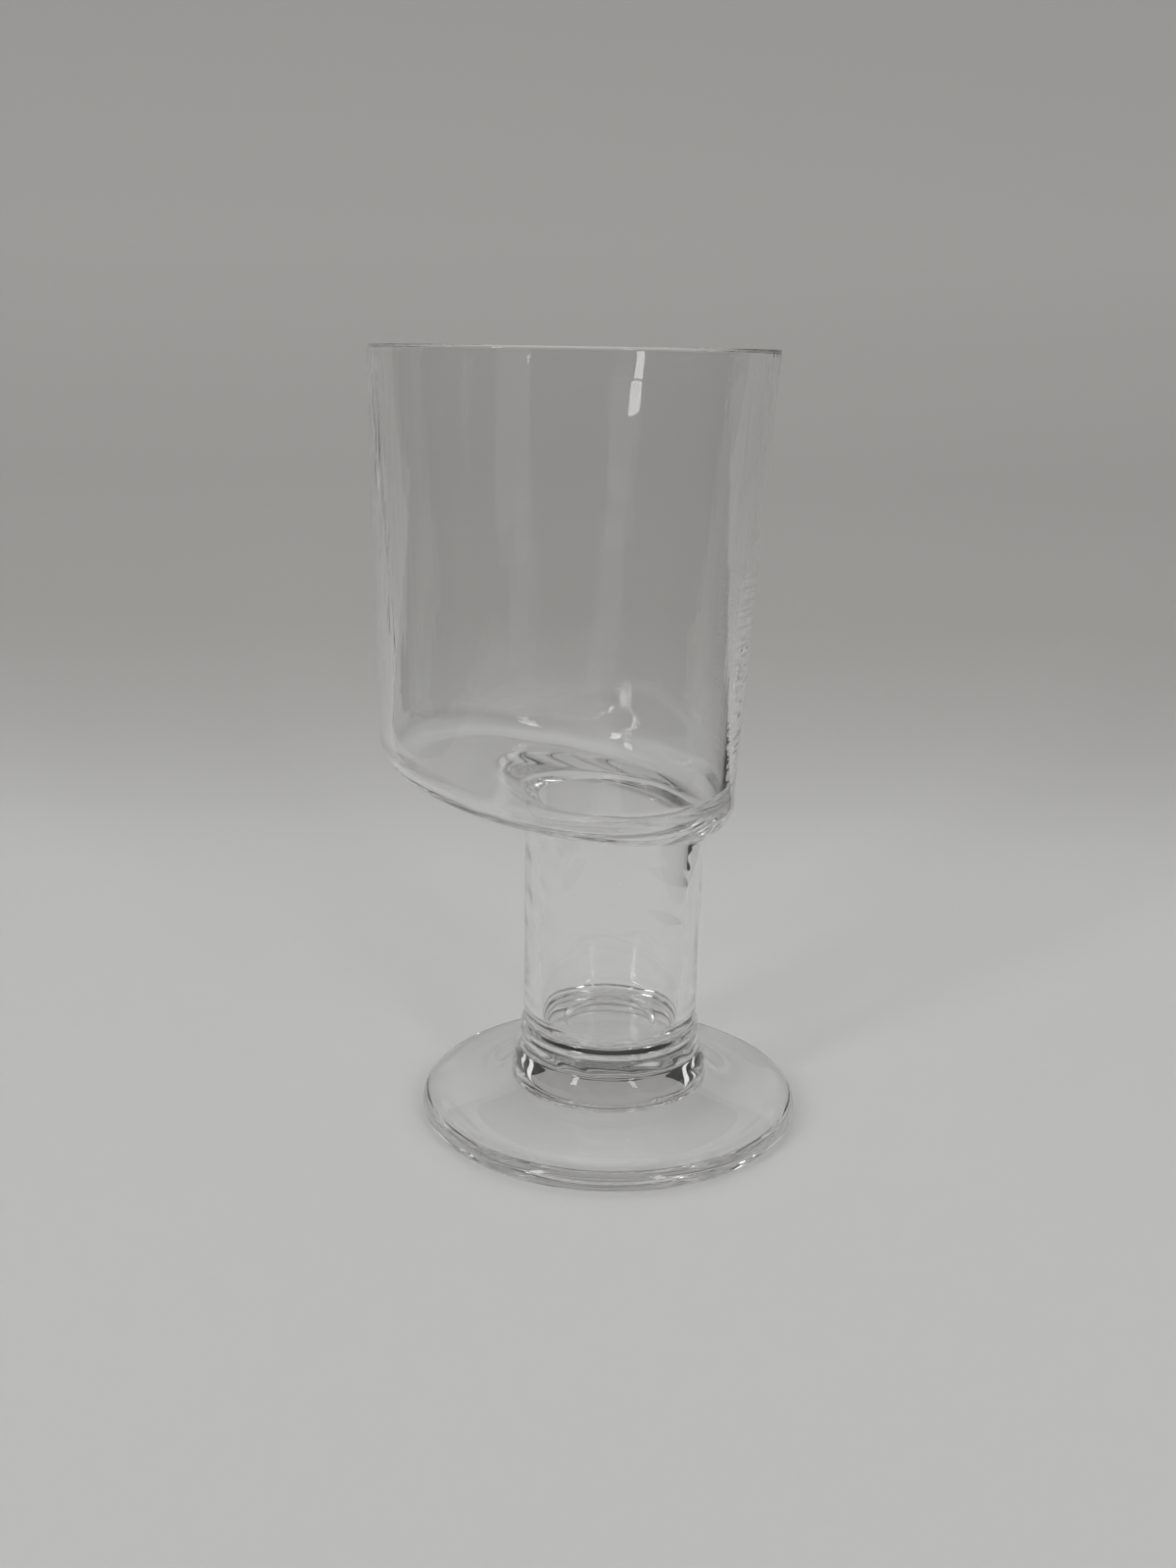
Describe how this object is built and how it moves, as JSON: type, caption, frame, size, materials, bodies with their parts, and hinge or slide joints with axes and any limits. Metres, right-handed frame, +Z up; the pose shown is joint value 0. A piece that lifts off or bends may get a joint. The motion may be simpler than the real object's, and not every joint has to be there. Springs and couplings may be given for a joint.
{
  "type": "footed water glass",
  "caption": "Clear footed water glass: round foot, rounded collar, wide hollow stem and an off-centre bowl whose sloping floor drains into the stem.",
  "frame": {"origin": "centre of the foot's underside, on the stem's axis", "axes": "+Z up along the stem's axis, -X towards the side that the bowl overhangs, XZ is the plane of symmetry"},
  "size_m": [0.0842, 0.0758, 0.15],
  "materials": {
    "clear_glass": "fire polished, clear and colourless"
  },
  "bodies": {
    "root": {"foot": "clear_glass", "collar": "clear_glass", "stem": "clear_glass", "bowl": "clear_glass"}
  },
  "joints": []
}
